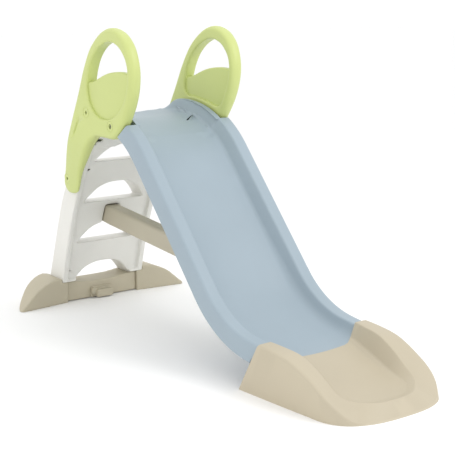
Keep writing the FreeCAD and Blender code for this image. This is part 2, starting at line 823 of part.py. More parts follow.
def brace():
    """The hollow bar that holds the ladder and the chute apart."""
    hinge = VEC(size("hinge_x"), size("hinge_z"), 0)
    catch = VEC(size("catch_x"), size("catch_z"), 0)
    along = (catch - hinge).normalize()
    up = VEC(-along.y, along.x, 0)
    half = size("brace_height") / 2
    nose = half - 4

    def place(u, w):
        spot = hinge + along * u + up * w
        return spot.x, spot.y

    def meet(w):
        down = slope_vector()
        gap = size("floor_depth") + size("wall") + 5
        start = VEC(*on_slope(0, gap), 0)
        base = hinge + up * w - start
        u = (base.y * down.x - base.x * down.y) / (along.x * down.y - along.y * down.x)
        return place(u, w)

    end_top, end_low = meet(half), place((catch - hinge).Length + 26, -half)
    round_end = [place(nose * math.cos(math.radians(a)), nose * math.sin(math.radians(a)))
                 for a in range(100, 261, 20)]
    side = chain(round_end, place(70, -half), end_low, meet(-half * 0.1), end_top, place(70, half))
    profile = slab("brace_side", side, -60, 60)
    wide = size("brace_width") / 2
    section = rounded([(-wide, -half, 6), (wide, -half, 6), (wide, half, 13), (-wide, half, 13)])
    turn = FreeCAD.Rotation(VEC(0, 1, 0), -math.degrees(math.atan2(along.y, along.x)))
    run = doc.addObject("Part::Extrusion", "brace_run")
    start = hinge - along * 60
    run.Base = outline("brace_section", section, turn * FRONT_VIEW, VEC(start.x, 0, start.y))
    run.DirMode = "Custom"
    run.Dir = VEC(along.x, 0, along.y)
    run.LengthFwd = 960
    run.Solid = True
    bar_whole = overlap("brace_bar", profile, run)

    wall = size("wall")
    length = (catch - hinge).Length
    inside = [place(45, -half + wall), place(length - 40, -half + wall), place(length - 40, half - wall),
              place(45, half - wall)]
    hollow = slab("brace_hollow", rounded(inside), -wide + wall, wide - wall)
    bore = pin("brace_bore", hinge.x, hinge.y, "sizes.hinge_pin + sizes.running_gap * 2", -60, 60)
    return keep(cut("brace", bar_whole, hollow, catch_slot(), bore), "brace")


def hinge_pin():
    """The pin in the middle step that the brace swings on."""
    rod = pin("hinge_rod", size("hinge_x"), size("hinge_z"), "sizes.hinge_pin", -44, 44)
    return keep(group("brace_hinge_pin", [rod]), "brace_hinge_pin")


def catch_pin():
    """The pin under the chute that the brace's open slot takes."""
    x, z = size("catch_x"), size("catch_z")
    rod = pin("catch_rod", x, z, "sizes.catch_pin", -44, 44)
    heads = [pin("catch_head", x, z, "sizes.catch_pin + 6", side * 38, side * 42) for side in (RIGHT, LEFT)]
    return keep(fuse("brace_catch_pin", rod, *heads), "brace_catch_pin")


def pivot(side, name):
    """The shoulder bolt that a handle turns on, and the flanged insert that it screws into."""
    x, z = size("pivot_x"), size("pivot_z")
    half, face = size("platform_half"), size("ladder_half") + 0.5
    outer = face + size("handle_thickness")
    head = pin("bolt_head", x, z, "sizes.pivot_pin * 2", side * (outer - 8.7), side * (outer - 4))
    shank = pin("bolt_shank", x, z, "sizes.pivot_pin", side * (half - 12.5), side * (outer - 8))
    drive = pin("bolt_drive", x, z, "sizes.pivot_pin - 2", side * (outer - 6.5), side * (outer - 3))
    keep(cut("pivot_bolt_" + name, fuse("bolt_whole", head, shank), drive), "pivot_bolt_" + name)
    sleeve = pin("insert_sleeve", x, z, "sizes.insert_outer", side * (half - 13), side * half)
    flange = pin("insert_flange", x, z, "sizes.insert_outer + 10", side * half, side * (face - 0.4))
    bore = pin("insert_bore", x, z, "sizes.pivot_pin", side * (half - 20), side * (face + 5))
    keep(cut("pivot_insert_" + name, fuse("insert_whole", sleeve, flange), bore), "pivot_insert_" + name)


# ---------------------------------------------------------------- the screws


def screw_across(x, z, side, seat, length):
    """A pan-head screw driven inwards along Y, its head's underside at the seat."""
    head = pin("screw_head", x, z, "sizes.screw_head", side * seat, side * (seat + 4))
    shank = pin("screw_shank", x, z, "sizes.screw_shank", side * (seat - length), side * (seat + 1))
    return slotted(fuse("screw_body", head, shank), x, z, side * (seat + 2.2), side * (seat + 6))


def slotted(screw, x, z, inner, outer):
    """Cut a cross recess into the head of a screw that runs along Y."""
    low, high = sorted((inner, outer))
    flat = slab("recess_flat", rounded([(x - 3.4, z - 0.7), (x + 3.4, z - 0.7), (x + 3.4, z + 0.7),
                                        (x - 3.4, z + 0.7)]), low, high)
    upright = slab("recess_upright", rounded([(x - 0.7, z - 3.4), (x + 0.7, z - 3.4), (x + 0.7, z + 3.4),
                                              (x - 0.7, z + 3.4)]), low, high)
    return cut("screw", screw, flat, upright)


def screw_upward(x, y, seat, length):
    """A pan-head screw driven upwards, its head's upper side at the seat."""
    head = post("screw_head", x, y, "sizes.screw_head", seat - 4, seat)
    shank = post("screw_shank", x, y, "sizes.screw_shank", seat - 1, seat + length)
    recess = post("screw_drive", x, y, "sizes.screw_shank - 1", seat - 5, seat - 2.5)
    return cut("screw", fuse("screw_body", head, shank), recess)


def screws():
    """Four sets of screws, one node a set."""
    upper, leg = screw_places()
    upper_seat, leg_seat = head_seats()
    sides = (RIGHT, LEFT)
    keep(group("handle_screws", [screw_across(*upper, side, upper_seat, 46) for side in sides]),
         "handle_screws")
    keep(group("leg_screws", [screw_across(*leg, side, leg_seat, 34) for side in sides]), "leg_screws")
    keep(group("base_screws", [screw_upward(x, side * BASE_SCREW_Y, 6, 29) for side in sides
                               for x in BASE_SCREW_X]), "base_screws")
    seat = landing_shelf_bottom()
    keep(group("landing_screws", [screw_upward(size("landing_screw_x"), side * size("landing_screw_y"),
                                               seat, 26) for side in sides]), "landing_screws")


def landing_shelf_bottom():
    """Height of the underside of the landing's shelf at its screws."""
    end = rim_points()[-1]
    tilt = math.radians(size("run_out_angle"))
    rise = (end.x - size("landing_screw_x")) * math.tan(tilt)
    depth = size("skirt_depth") + size("wall")
    return end.y + rise - depth / math.cos(tilt) - 0.9


# ---------------------------------------------------------------- build and write


def check_and_write():
    """Recompute, refuse anything failed or not one valid shape, and write one file a sub-part."""
    doc.recompute()
    for thing in doc.Objects:
        if {"Invalid", "Error"} & set(thing.State):
            raise RuntimeError(f"{thing.Label} failed: {thing.State}")
    os.makedirs("parts", exist_ok=True)
    for part in subparts:
        shape = part.Shape
        if shape.isNull() or not shape.isValid() or not shape.Solids:
            raise RuntimeError(f"{part.Label} has no valid solid")
        shape.exportStep(f"parts/{part.Label}.step")
        box = shape.BoundBox
        print(f"{part.Label:18s} solids {len(shape.Solids)} volume {shape.Volume / 1000:9.1f} cm3 "
              f"x {box.XMin:7.1f} {box.XMax:7.1f} y {box.YMin:7.1f} {box.YMax:7.1f} "
              f"z {box.ZMin:7.1f} {box.ZMax:7.1f}")


fill_sheet()
chute()
landing()
ladder()
handle(RIGHT, "handle_right")
handle(LEFT, "handle_left")
foot(RIGHT, "foot_right")
foot(LEFT, "foot_left")
crossbar()
clip()
brace()
hinge_pin()
catch_pin()
pivot(RIGHT, "right")
pivot(LEFT, "left")
screws()
check_and_write()
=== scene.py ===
"""A toddler slide: a trough-shaped chute on a stepped ladder with two loop handles.

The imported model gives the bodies, the joints, the hidden pins and every size. This script adds the
moulded shells that show, their finishes, the light and the camera.
"""

import logging
import math
from collections.abc import Callable, Sequence
from dataclasses import dataclass
from enum import Enum

import bmesh
import bpy
from mathutils import Euler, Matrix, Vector


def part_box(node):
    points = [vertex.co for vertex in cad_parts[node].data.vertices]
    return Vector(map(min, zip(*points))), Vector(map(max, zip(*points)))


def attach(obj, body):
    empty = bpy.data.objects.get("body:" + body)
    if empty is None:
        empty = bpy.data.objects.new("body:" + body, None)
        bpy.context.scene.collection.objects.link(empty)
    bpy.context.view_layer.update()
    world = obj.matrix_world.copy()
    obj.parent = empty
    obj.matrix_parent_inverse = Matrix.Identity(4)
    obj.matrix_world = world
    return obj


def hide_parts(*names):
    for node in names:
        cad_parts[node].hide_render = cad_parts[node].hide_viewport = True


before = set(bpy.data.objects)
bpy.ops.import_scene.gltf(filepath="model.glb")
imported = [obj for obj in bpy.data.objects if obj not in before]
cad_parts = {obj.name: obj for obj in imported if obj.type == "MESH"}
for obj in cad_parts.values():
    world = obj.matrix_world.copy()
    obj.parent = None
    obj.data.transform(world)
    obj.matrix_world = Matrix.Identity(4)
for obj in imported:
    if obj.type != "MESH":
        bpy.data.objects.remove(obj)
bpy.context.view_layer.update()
log = logging.getLogger("slide")

MM = 0.001
FOOT_DEPTH = 124.0
FOOT_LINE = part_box("foot_right")[0].x + FOOT_DEPTH * MM


class Body(Enum):
    """The moving bodies of the slide."""

    SLIDE = "slide"
    LADDER = "ladder"
    BRACE = "brace"


class Side(Enum):
    """A child's right or left hand side, as the sign of y."""

    RIGHT = -1
    LEFT = 1


def at(x: float, y: float, z: float) -> Vector:
    """A place in the row frame.

    Args:
        x: millimetres in front of the foot line, towards the landing.
        y: millimetres to the left of the middle plane.
        z: millimetres above the floor.

    Returns:
        The place in metres.
    """
    return Vector((FOOT_LINE + x * MM, y * MM, z * MM))


def clamp(value: float) -> float:
    """The value, kept between nought and one."""
    return min(max(value, 0.0), 1.0)


def ease(value: float) -> float:
    """A smooth step from nought to one."""
    t = clamp(value)
    return t * t * (3 - 2 * t)


def along_curve(points: Sequence[tuple[float, float]], x: float) -> float:
    """Reads a smooth curve through points at x.

    Args:
        points: (x, value) pairs in order of x.
        x: where to read it.

    Returns:
        The value there, held level past both ends.
    """
    if x <= points[0][0]:
        return points[0][1]
    if x >= points[-1][0]:
        return points[-1][1]
    slopes = []
    for i in range(len(points)):
        before, after = points[max(i - 1, 0)], points[min(i + 1, len(points) - 1)]
        slopes.append((after[1] - before[1]) / (after[0] - before[0]))
    for i in range(len(points) - 1):
        (x0, v0), (x1, v1) = points[i], points[i + 1]
        if x <= x1:
            break
    span = x1 - x0
    t = (x - x0) / span
    lift = v0 * (2 * t**3 - 3 * t**2 + 1) + v1 * (3 * t**2 - 2 * t**3)
    return lift + span * (slopes[i] * (t**3 - 2 * t**2 + t) + slopes[i + 1] * (t**3 - t**2))


def round_corners(corners: Sequence[tuple[float, float, float]], segments: int) -> list[tuple[float, float]]:
    """Turns an open run of corners into points with arcs at the inner corners.

    Args:
        corners: (across, up, radius) of each corner.
        segments: steps in each arc.

    Returns:
        The points: the first and last corner, and segments + 1 points for each corner between.
    """
    points = [corners[0][:2]]
    for i in range(1, len(corners) - 1):
        here = Vector(corners[i][:2])
        into = (here - Vector(corners[i - 1][:2])).normalized()
        out = (Vector(corners[i + 1][:2]) - here).normalized()
        half = into.angle(out, 0.0) / 2
        reach = corners[i][2] * math.tan(half)
        start, end = here - into * reach, here + out * reach
        for k in range(segments + 1):
            t = k / segments
            weight = 2 * t * (1 - t) * math.cos(half)
            total = (1 - t) ** 2 + weight + t**2
            spot = (start * (1 - t) ** 2 + here * weight + end * t**2) / total
            points.append((spot.x, spot.y))
    points.append(corners[-1][:2])
    return points


def row_edges(bm: bmesh.types.BMesh, row: list[bmesh.types.BMVert], closed: bool) -> list[bmesh.types.BMEdge]:
    """The edges that join a row's vertices, made where they are missing."""
    pairs = list(zip(row, row[1:])) + ([(row[-1], row[0])] if closed else [])
    return [bm.edges.get(pair) or bm.edges.new(pair) for pair in pairs]


def extrude_row(bm: bmesh.types.BMesh, row: list[bmesh.types.BMVert], places: Sequence[Vector],
                closed: bool = False) -> list[bmesh.types.BMVert]:
    """Extrudes a row of vertices to new places.

    Args:
        bm: the mesh.
        row: the vertices in order.
        places: where each new vertex goes.
        closed: whether the last vertex joins the first.

    Returns:
        The new row, in the same order.
    """
    edges = row_edges(bm, row, closed)
    made = bmesh.ops.extrude_edge_only(bm, edges=edges)["geom"]
    fresh = {item for item in made if isinstance(item, bmesh.types.BMVert)}
    following = []
    for vert, place in zip(row, places):
        new = next(e.other_vert(vert) for e in vert.link_edges if e.other_vert(vert) in fresh)
        new.co = place
        following.append(new)
    return following


def first_row(bm: bmesh.types.BMesh, places: Sequence[Vector],
              closed: bool = False) -> list[bmesh.types.BMVert]:
    """Makes the first row of vertices, joined by edges, and returns it."""
    row = [bm.verts.new(place) for place in places]
    row_edges(bm, row, closed)
    return row


def smooth_loop(points: Sequence[tuple[float, float]], steps: int) -> list[Vector]:
    """A smooth closed curve through points, with the same steps between each two."""
    count = len(points)
    spots = [Vector(p) for p in points]
    loop = []
    for i in range(count):
        p0, p1, p2, p3 = (spots[(i + k - 1) % count] for k in range(4))
        for k in range(steps):
            t = k / steps
            loop.append(0.5 * (2 * p1 + (p2 - p0) * t + (2 * p0 - 5 * p1 + 4 * p2 - p3) * t**2
                               + (3 * p1 - p0 - 3 * p2 + p3) * t**3))
    return loop


def circle_loop(centre: tuple[float, float], radius: float, steps: int) -> list[Vector]:
    """A round loop about a centre."""
    turns = [2 * math.pi * i / steps for i in range(steps)]
    return [Vector(centre) + radius * Vector((math.cos(a), math.sin(a))) for a in turns]


def moved_in(loop: Sequence[Vector], distance: float) -> list[Vector]:
    """A closed loop moved towards its inside by a distance, or outwards if it is negative."""
    count = len(loop)
    area = sum(loop[i - 1].cross(loop[i]) for i in range(count))
    moved = []
    for i in range(count):
        run = (loop[(i + 1) % count] - loop[i - 1]).normalized()
        moved.append(loop[i] + math.copysign(distance, area * distance) * Vector((-run.y, run.x)))
    return moved


def finished(bm: bmesh.types.BMesh, name: str, outward: bool = False) -> bpy.types.Object:
    """Turns a bmesh into a smooth-shaded object at the origin.

    Args:
        bm: the mesh, which is freed.
        name: the piece's name.
        outward: whether its faces still have to be turned outwards.

    Returns:
        The object, linked to the scene.
    """
    if outward:
        bmesh.ops.recalc_face_normals(bm, faces=bm.faces)
    for face in bm.faces:
        face.smooth = True
    mesh = bpy.data.meshes.new(name)
    bm.to_mesh(mesh)
    bm.free()
    piece = bpy.data.objects.new(name, mesh)
    bpy.context.scene.collection.objects.link(piece)
    return piece


def settle(piece: bpy.types.Object) -> bpy.types.Object:
    """Applies a piece's modifiers to its mesh, shades it smooth and returns it."""
    graph = bpy.context.evaluated_depsgraph_get()
    mesh = bpy.data.meshes.new_from_object(piece.evaluated_get(graph))
    old = piece.data
    piece.modifiers.clear()
    piece.data = mesh
    mesh.name = old.name
    bpy.data.meshes.remove(old)
    for polygon in mesh.polygons:
        polygon.use_smooth = True
    return piece


def thicken(piece: bpy.types.Object, wall: float, edge: float) -> None:
    """Gives a sheet its wall, inwards, and rounds the wall's edges.

    Args:
        piece: the sheet, with its faces outwards.
        wall: thickness in metres.
        edge: radius of the rounding in metres.
    """
    solid = piece.modifiers.new("wall", "SOLIDIFY")
    solid.thickness = wall
    solid.offset = -1.0
    bevel = piece.modifiers.new("edge", "BEVEL")
    bevel.width = edge
    bevel.segments = 3
    bevel.limit_method = "ANGLE"
    bevel.angle_limit = math.radians(50)
    bevel.harden_normals = False


# ---------------------------------------------------------------- finishes


def new_group(name: str, inputs: Sequence[tuple[str, str, object]],
              outputs: Sequence[tuple[str, str]]) -> bpy.types.NodeTree:
    """Makes an empty shader node group.

    Args:
        name: its name.
        inputs: (name, socket type, default) of each input.
        outputs: (name, socket type) of each output.

    Returns:
        The group, with its Group Input and Group Output nodes named "in" and "out".
    """
    group = bpy.data.node_groups.new(name, "ShaderNodeTree")
    for label, kind, default in inputs:
        group.interface.new_socket(label, in_out="INPUT", socket_type=kind).default_value = default
    for label, kind in outputs:
        group.interface.new_socket(label, in_out="OUTPUT", socket_type=kind)
    group.nodes.new("NodeGroupInput").name = "in"
    group.nodes.new("NodeGroupOutput").name = "out"
    return group


def node(tree: bpy.types.NodeTree, kind: str, **settings: object) -> bpy.types.Node:
    """Adds a shader node, with its settings and, by socket name, its input values."""
    made = tree.nodes.new("ShaderNode" + kind)
    for key, value in settings.items():
        if hasattr(made, key):
            setattr(made, key, value)
        else:
            made.inputs[key.replace("_", " ").title()].default_value = value
    return made


def grain_group() -> bpy.types.NodeTree:
    """Fine moulding grain over a slow unevenness, as a height."""
    group = new_group("moulded_grain", [("Grain Scale", "NodeSocketFloat", 900.0),
                                        ("Wave Scale", "NodeSocketFloat", 9.0),
                                        ("Wave", "NodeSocketFloat", 1.0)], [("Height", "NodeSocketFloat")])
    coords = node(group, "TexCoord")
    fine = node(group, "TexNoise", detail=3.0, roughness=0.6)
    slow = node(group, "TexNoise", detail=2.0, roughness=0.5)
    part = node(group, "Math", operation="MULTIPLY")
    total = node(group, "Math", operation="ADD")
    link = group.links.new
    for noise, scale in ((fine, "Grain Scale"), (slow, "Wave Scale")):
        link(coords.outputs["Object"], noise.inputs["Vector"])
        link(group.nodes["in"].outputs[scale], noise.inputs["Scale"])
    link(slow.outputs["Fac"], part.inputs[0])
    link(group.nodes["in"].outputs["Wave"], part.inputs[1])
    link(fine.outputs["Fac"], total.inputs[0])
    link(part.outputs[0], total.inputs[1])
    link(total.outputs[0], group.nodes["out"].inputs["Height"])
    return group


def make_tint_highlight_group() -> bpy.types.NodeTree:
    """Slow change of a plastic's colour, and a painted highlight: a little lighter on its sharp convex edges.
    """
    group = new_group("colour_tint_and_painted_highlight", [("Colour", "NodeSocketColor", (1, 1, 1, 1)),
                                       ("Deep Colour", "NodeSocketColor", (1, 1, 1, 1)),
                                       ("Highlight Colour", "NodeSocketColor", (1, 1, 1, 1)),
                                       ("Scale", "NodeSocketFloat", 4.0),
                                       ("Edge", "NodeSocketFloat", 0.4)], [("Colour", "NodeSocketColor")])
    coords = node(group, "TexCoord")
    noise = node(group, "TexNoise", detail=4.0, roughness=0.55)
    spread = node(group, "MapRange", from_min=0.3, from_max=0.7)
    mix = node(group, "Mix", data_type="RGBA")
    shape = node(group, "NewGeometry")
    # Sharp convex edges, picked out by pointiness, get the edge colour as a painted highlight.
    rise = node(group, "MapRange", from_min=0.5, from_max=0.62)
    amount = node(group, "Math", operation="MULTIPLY")
    highlight_mix = node(group, "Mix", data_type="RGBA")
    link = group.links.new
    inputs = group.nodes["in"].outputs
    link(coords.outputs["Object"], noise.inputs["Vector"])
    link(inputs["Scale"], noise.inputs["Scale"])
    link(noise.outputs["Fac"], spread.inputs["Value"])
    link(spread.outputs["Result"], mix.inputs["Factor"])
    link(inputs["Deep Colour"], mix.inputs[6])
    link(inputs["Colour"], mix.inputs[7])
    link(shape.outputs["Pointiness"], rise.inputs["Value"])
    link(rise.outputs["Result"], amount.inputs[0])
    link(inputs["Edge"], amount.inputs[1])
    link(amount.outputs[0], highlight_mix.inputs["Factor"])
    link(mix.outputs[2], highlight_mix.inputs[6])
    link(inputs["Highlight Colour"], highlight_mix.inputs[7])
    link(highlight_mix.outputs[2], group.nodes["out"].inputs["Colour"])
    return group


def scuff_group() -> bpy.types.NodeTree:
    """Faint rubbed streaks, as a roughness."""
    group = new_group("rubbed_streaks", [("Roughness", "NodeSocketFloat", 0.45),
                                         ("Spread", "NodeSocketFloat", 0.1),
                                         ("Scale", "NodeSocketVector", (6.0, 60.0, 6.0))],
                      [("Roughness", "NodeSocketFloat")])
    coords = node(group, "TexCoord")
    stretch = node(group, "Mapping")
    noise = node(group, "TexNoise", scale=1.0, detail=5.0, roughness=0.65)
    centred = node(group, "Math", operation="SUBTRACT")
    centred.inputs[1].default_value = 0.5
    part = node(group, "Math", operation="MULTIPLY")
    total = node(group, "Math", operation="ADD")
    link = group.links.new
    inputs = group.nodes["in"].outputs
    link(coords.outputs["Object"], stretch.inputs["Vector"])
    link(inputs["Scale"], stretch.inputs["Scale"])
    link(stretch.outputs["Vector"], noise.inputs["Vector"])
    link(noise.outputs["Fac"], centred.inputs[0])
    link(centred.outputs[0], part.inputs[0])
    link(inputs["Spread"], part.inputs[1])
    link(part.outputs[0], total.inputs[0])
    link(inputs["Roughness"], total.inputs[1])
    link(total.outputs[0], group.nodes["out"].inputs["Roughness"])
    return group


GROUPS = {"grain": grain_group(), "tint_and_highlight": make_tint_highlight_group(), "scuff": scuff_group()}


def linear(colour: Sequence[float], gain: float = 1.0) -> tuple[float, float, float, float]:
    """An 8-bit display colour as the linear RGBA of a shader, times a gain."""
    parts = [c / 255 for c in colour]
    parts = [c / 12.92 if c <= 0.04045 else ((c + 0.055) / 1.055) ** 2.4 for c in parts]
    return tuple(min(c * gain, 1.0) for c in parts) + (1.0,)


@dataclass(frozen=True)
class Plastic:
    """A moulded plastic: its colour, gloss and surface grain, and a highlight painted on its edges."""

    name: str
    colour: tuple[int, int, int]
    roughness: float = 0.45
    grain: float = 0.00006
    grain_scale: float = 900.0
    wave: float = 1.5
    streaks: tuple[float, float, float] = (9.0, 9.0, 9.0)
    streak_spread: float = 0.12
    deepening: float = 0.95
    # A lighter colour painted on sharp convex edges as a highlight: how much lighter, and how strongly.
    highlight_gain: float = 1.12
    highlight_share: float = 0.35
    scatter: float = 0.0

    def material(self) -> bpy.types.Material:
        """Builds the material, once for each name.

        Returns:
            The material.
        """
        if self.name in bpy.data.materials:
            return bpy.data.materials[self.name]
        material = bpy.data.materials.new(self.name)
        material.use_nodes = True
        tree = material.node_tree
        shader = tree.nodes["Principled BSDF"]
        shader.inputs["Specular IOR Level"].default_value = 0.42
        shader.inputs["Subsurface Weight"].default_value = self.scatter
        shader.inputs["Subsurface Radius"].default_value = (0.004, 0.004, 0.003)
        tint_and_highlight = node(tree, "Group", node_tree=GROUPS["tint_and_highlight"])
        tint_and_highlight.inputs["Colour"].default_value = linear(self.colour)
        tint_and_highlight.inputs["Deep Colour"].default_value = linear(self.colour, self.deepening)
        # The edge colour is a painted highlight, lighter than the plastic.
        tint_and_highlight.inputs["Highlight Colour"].default_value = linear(self.colour, self.highlight_gain)
        tint_and_highlight.inputs["Edge"].default_value = self.highlight_share
        scuff = node(tree, "Group", node_tree=GROUPS["scuff"])
        scuff.inputs["Roughness"].default_value = self.roughness
        scuff.inputs["Spread"].default_value = self.streak_spread
        scuff.inputs["Scale"].default_value = self.streaks
        grain = node(tree, "Group", node_tree=GROUPS["grain"])
        grain.inputs["Grain Scale"].default_value = self.grain_scale
        grain.inputs["Wave"].default_value = self.wave
        bump = node(tree, "Bump", distance=self.grain, strength=1.0)
        link = tree.links.new
        link(tint_and_highlight.outputs["Colour"], shader.inputs["Base Color"])
        link(scuff.outputs["Roughness"], shader.inputs["Roughness"])
        link(grain.outputs["Height"], bump.inputs["Height"])
        link(bump.outputs["Normal"], shader.inputs["Normal"])
        return material


@dataclass(frozen=True)
class PlatedSteel:
    """Zinc-plated steel with a fine brushed grain."""

    name: str = "zinc_plated_steel"
    colour: tuple[int, int, int] = (176, 176, 172)
    roughness: float = 0.34

    def material(self) -> bpy.types.Material:
        """Builds the material, once.

        Returns:
            The material.
        """
        if self.name in bpy.data.materials:
            return bpy.data.materials[self.name]
        material = bpy.data.materials.new(self.name)
        material.use_nodes = True
        tree = material.node_tree
        shader = tree.nodes["Principled BSDF"]
        shader.inputs["Metallic"].default_value = 1.0
        tint_and_highlight = node(tree, "Group", node_tree=GROUPS["tint_and_highlight"])
        tint_and_highlight.inputs["Colour"].default_value = linear(self.colour)
        tint_and_highlight.inputs["Deep Colour"].default_value = linear(self.colour, 0.8)
        # The steel's sharp edges are painted lighter as a highlight.
        tint_and_highlight.inputs["Highlight Colour"].default_value = linear(self.colour, 1.2)
        tint_and_highlight.inputs["Scale"].default_value = 90.0
        scuff = node(tree, "Group", node_tree=GROUPS["scuff"])
        scuff.inputs["Roughness"].default_value = self.roughness
        scuff.inputs["Spread"].default_value = 0.25
        scuff.inputs["Scale"].default_value = (900.0, 120.0, 900.0)
        tree.links.new(tint_and_highlight.outputs["Colour"], shader.inputs["Base Color"])
        tree.links.new(scuff.outputs["Roughness"], shader.inputs["Roughness"])
        return material


CHUTE_BLUE = Plastic("chute_blue_plastic", (155, 170, 180), roughness=0.42, streaks=(5.0, 70.0, 5.0),
                     streak_spread=0.10)
LANDING_SAND = Plastic("landing_sand_plastic", (188, 178, 156), roughness=0.50, streaks=(7.0, 24.0, 7.0))
LADDER_WHITE = Plastic("ladder_white_plastic", (228, 227, 221), roughness=0.44, wave=2.5, highlight_gain=1.05)
HANDLE_GREEN = Plastic("handle_green_plastic", (197, 207, 132), roughness=0.38, wave=2.0)
BASE_TAUPE = Plastic("base_taupe_plastic", (187, 179, 157), roughness=0.50, wave=2.0)
BRACE_TAUPE = Plastic("brace_taupe_plastic", (184, 177, 157), roughness=0.46, wave=2.0)
INSERT_NYLON = Plastic("insert_nylon", (226, 222, 212), roughness=0.40)
SCREW_STEEL = PlatedSteel()


def dress(piece: bpy.types.Object, finish: Plastic | PlatedSteel, body: Body) -> None:
    """Gives a new piece its finish and the body that it rides on."""
    piece.data.materials.clear()
    piece.data.materials.append(finish.material())
    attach(piece, body.value)


# ---------------------------------------------------------------- the chute


def seam_bow(across: float) -> float:
    """How far the chute's floor reaches over its rim's end, at a distance from the middle plane."""
    return 27 * ease((163 - abs(across)) / 60)


@dataclass
class Chute:
    """The blue trough: platform, slope and run-out in one thin moulding. Sizes are millimetres."""

    wall: float = 4.0
    start: float = 168.0
    rim_height: float = 768.0
    level_length: float = 152.0
    bend_radius: float = 400.0
    slope_angle: float = 48.6
    slope_length: float = 498.0
    sweep_radius: float = 330.0
    end_angle: float = 7.0
    end_length: float = 56.0
    floor_depth: float = 55.0
    skirt_depth: float = 62.0
    lobe_angle: float = 30.3
    lobe_slant: float = 27.0
    row_pitch: float = 11.0
    arc_steps: int = 5
    floor_steps: int = 8

    def section(self, narrow: bool, ending: bool = False) -> list[tuple[float, float]]:
        """The left half of the section, from the middle of the floor to the foot of the skirt.

        Args:
            narrow: whether it is the platform's, which leaves room for the handles.
            ending: whether it is the run-out's, with its softer wall foot.

        Returns:
            (distance from the middle plane, height over the rim line) of each point.
        """
        deep = -self.skirt_depth
        if narrow:
            corners = [(100, -50, 0), (138, -45, 24), (150, -4, 8), (163, -4, 5), (163, deep, 0)]
        elif ending:
            corners = [(100, -49, 0), (150, -41, 44), (164, 0, 9), (208, 0, 9), (212, deep, 0)]
        else:
            corners = [(100, -50, 0), (144, -44, 18), (163, 0, 9), (208, 0, 9), (212, deep, 0)]
        floor = []
        for i in range(self.floor_steps):
            across = 100 * i / self.floor_steps
            floor.append((across, -self.floor_depth + (self.floor_depth - 50) * (across / 100) ** 2))
        return floor + round_corners(corners, self.arc_steps)

    def line_length(self) -> float:
        """Length of the rim line in side view."""
        turn = math.radians(self.slope_angle)
        back = math.radians(self.slope_angle - self.end_angle)
        return (self.level_length + self.bend_radius * turn + self.slope_length
                + self.sweep_radius * back + self.end_length)

    def rim_line(self, run: float) -> tuple[Vector, float]:
        """Reads the rim line in side view.

        Args:
            run: distance along it from the platform's rear edge.

        Returns:
            The point, as (x, z), and the slope below the horizon in radians.
        """
        steep, flat = math.radians(self.slope_angle), math.radians(self.end_angle)
        spot = Vector((self.start, self.rim_height))
        if run <= self.level_length:
            return spot + Vector((run, 0)), 0.0
        spot += Vector((self.level_length, 0))
        run -= self.level_length
        angle = min(run / self.bend_radius, steep)
        spot += self.bend_radius * Vector((math.sin(angle), math.cos(angle) - 1))
        run -= self.bend_radius * angle
        if run <= 0:
            return spot, angle
        straight = min(run, self.slope_length)
        spot += straight * Vector((math.cos(steep), -math.sin(steep)))
        run -= straight
        angle = max(steep - run / self.sweep_radius, flat)
        spot += self.sweep_radius * Vector((math.sin(steep) - math.sin(angle),
                                            math.cos(steep) - math.cos(angle)))
        run -= self.sweep_radius * (steep - angle)
        return spot + max(run, 0.0) * Vector((math.cos(flat), -math.sin(flat))), angle

    def lobe_run(self) -> float:
        """Distance along the rim line to the handles' lower lobes, where the full rim begins."""
        return self.level_length + self.bend_radius * math.radians(self.lobe_angle)

    def place(self, run: float, across: float, height: float, outer: bool) -> Vector:
        """Puts one point of the section in its place.

        Args:
            run: distance along the rim line.
            across: signed distance from the middle plane.
            height: height over the rim line.
            outer: whether the point is on the rim's outer side or the skirt.

        Returns:
            The place in metres.
        """
        end = self.line_length()
        hump = along_curve([(0, -47), (30, -44), (60, -31), (86, -13), (113, -2), (155, 1), (220, 0)], run)
        base = -self.floor_depth + 5
        if height > base and not outer:
            height = base + (height - base) * (hump - base) / -base
        elif outer:
            height = max(height, -self.skirt_depth) + hump * clamp(1 + height / self.skirt_depth)
        depth = clamp(-height / self.skirt_depth)
        if outer:
            run -= self.lobe_slant * depth * math.exp(-abs(run - self.lobe_run()) / 85)
            run -= 34 * depth * math.exp((run - end) / 110)
        else:
            run += seam_bow(across) * math.exp((run - end) / 110)
        spot, angle = self.rim_line(run)
        inward = Vector((-math.sin(angle), -math.cos(angle)))
        spot = spot - inward * height
        return at(spot.x, across, spot.y)

    def row(self, run: float, narrow: bool, drop: float = 0.0) -> list[Vector]:
        """The whole section at one distance along the rim line, from the right skirt to the left."""
        share = ease(run / self.lobe_run())
        soft = ease((run - 0.55 * self.line_length()) / (0.4 * self.line_length()))
        slim = self.section(True)
        full = [tuple(a + (b - a) * soft for a, b in zip(main, last))
                for main, last in zip(self.section(False), self.section(False, True))]
        rim_start = self.floor_steps + 1 + 2 * (self.arc_steps + 1)
        half = []
        for i, (thin, wide) in enumerate(zip(slim, full)):
            outer = i >= rim_start
            if outer:
                across, height = thin if narrow else wide
            else:
                across = thin[0] + (wide[0] - thin[0]) * share
                height = thin[1] + (wide[1] - thin[1]) * share
            half.append((across, height, outer))
        left = [self.place(run, a, h, o) for a, h, o in half]
        right = [self.place(run, -a, h, o) for a, h, o in reversed(half[1:])]
        return [spot - Vector((0, 0, drop * MM)) for spot in right + left]

